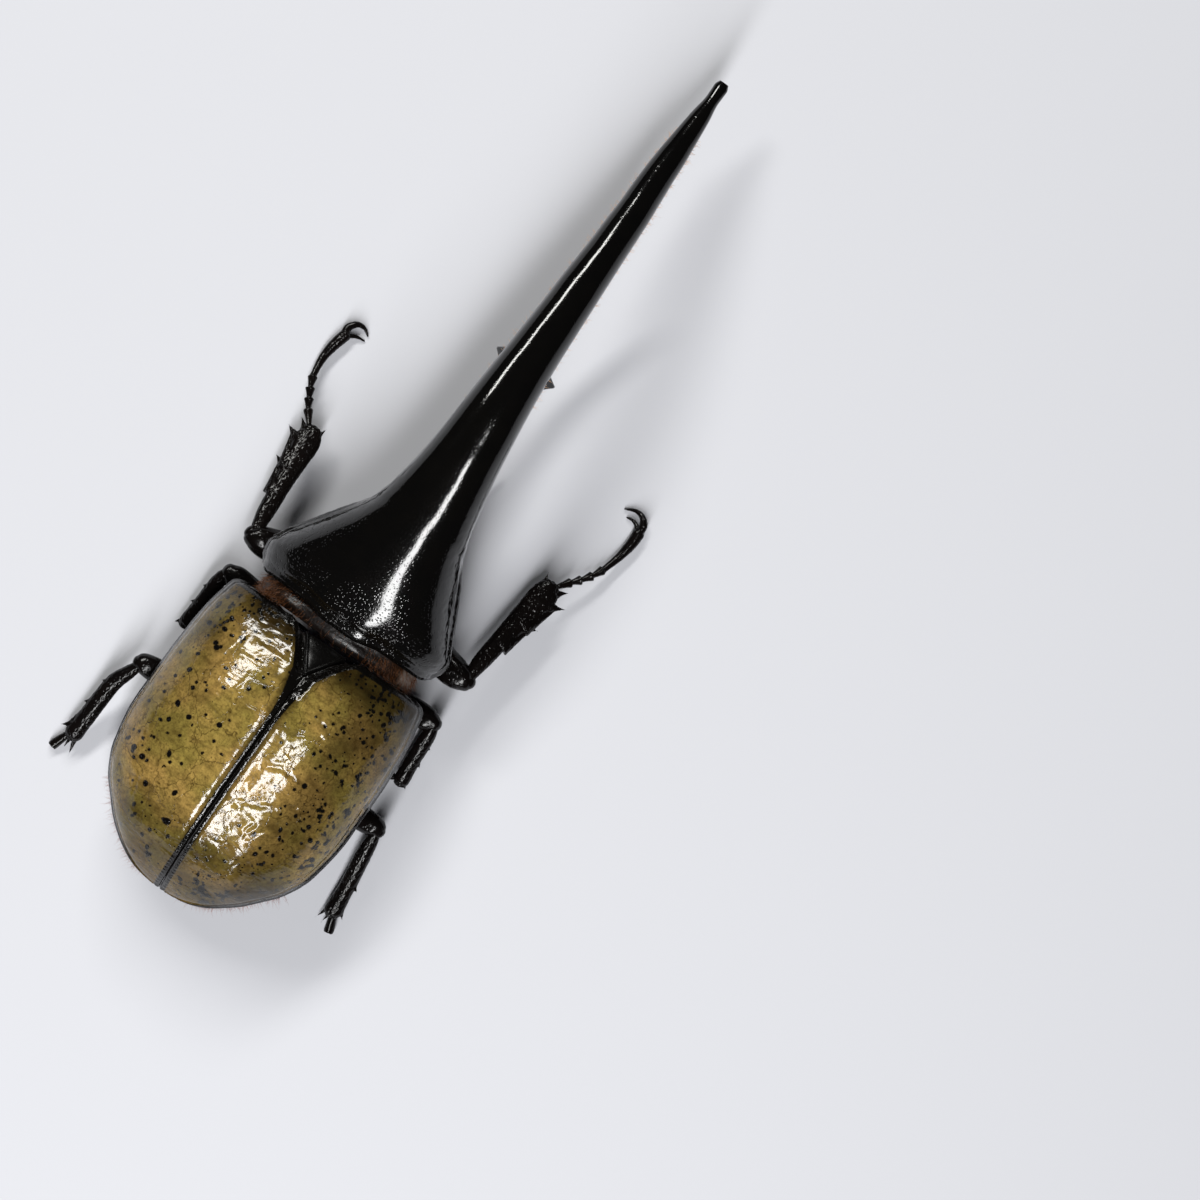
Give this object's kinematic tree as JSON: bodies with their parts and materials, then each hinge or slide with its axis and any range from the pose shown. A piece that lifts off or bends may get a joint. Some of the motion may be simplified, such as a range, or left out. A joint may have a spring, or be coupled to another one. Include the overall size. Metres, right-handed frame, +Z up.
{
  "type": "hercules beetle",
  "caption": "Still life-size male beetle with a long curved upper horn over a shorter lower one, domed spotted wing cases and clawed legs, resting flat on its belly.",
  "frame": {"origin": "on the flat of the belly, on the middle line, 8 mm behind the hind edge of the pronotum", "axes": "+X to the beetle's left, +Y towards its tail, so the horns point to -Y, +Z up from the floor"},
  "size_m": [0.0707, 0.1861, 0.0421],
  "materials": {
    "chitin_black": "glossy black chitin",
    "elytron_olive": "glossy olive ochre chitin with black spots",
    "eye_black": "polished dark compound eye",
    "membrane_brown": "dull brown membrane with short hairs"
  },
  "bodies": {
    "root": {"abdomen": "chitin_black", "antenna_left": "membrane_brown", "antenna_right": "membrane_brown", "cephalic_horn": "chitin_black", "coxa_front_left": "chitin_black", "coxa_front_right": "chitin_black", "coxa_hind_left": "chitin_black", "coxa_hind_right": "chitin_black", "coxa_mid_left": "chitin_black", "coxa_mid_right": "chitin_black", "elytron_left": "elytron_olive", "elytron_right": "elytron_olive", "eye_left": "eye_black", "eye_right": "eye_black", "femur_front_left": "chitin_black", "femur_front_right": "chitin_black", "femur_hind_left": "chitin_black", "femur_hind_right": "chitin_black", "femur_mid_left": "chitin_black", "femur_mid_right": "chitin_black", "head": "chitin_black", "labium": "chitin_black", "mandible_left": "chitin_black", "mandible_right": "chitin_black", "mesothorax": "membrane_brown", "metathorax": "chitin_black", "pronotum": "chitin_black", "pygidium": "chitin_black", "scutellum": "chitin_black", "tarsus_front_left": "chitin_black", "tarsus_front_right": "chitin_black", "tarsus_hind_left": "chitin_black", "tarsus_hind_right": "chitin_black", "tarsus_mid_left": "chitin_black", "tarsus_mid_right": "chitin_black", "thoracic_horn": "chitin_black", "tibia_front_left": "chitin_black", "tibia_front_right": "chitin_black", "tibia_hind_left": "chitin_black", "tibia_hind_right": "chitin_black", "tibia_mid_left": "chitin_black", "tibia_mid_right": "chitin_black"}
  },
  "joints": []
}
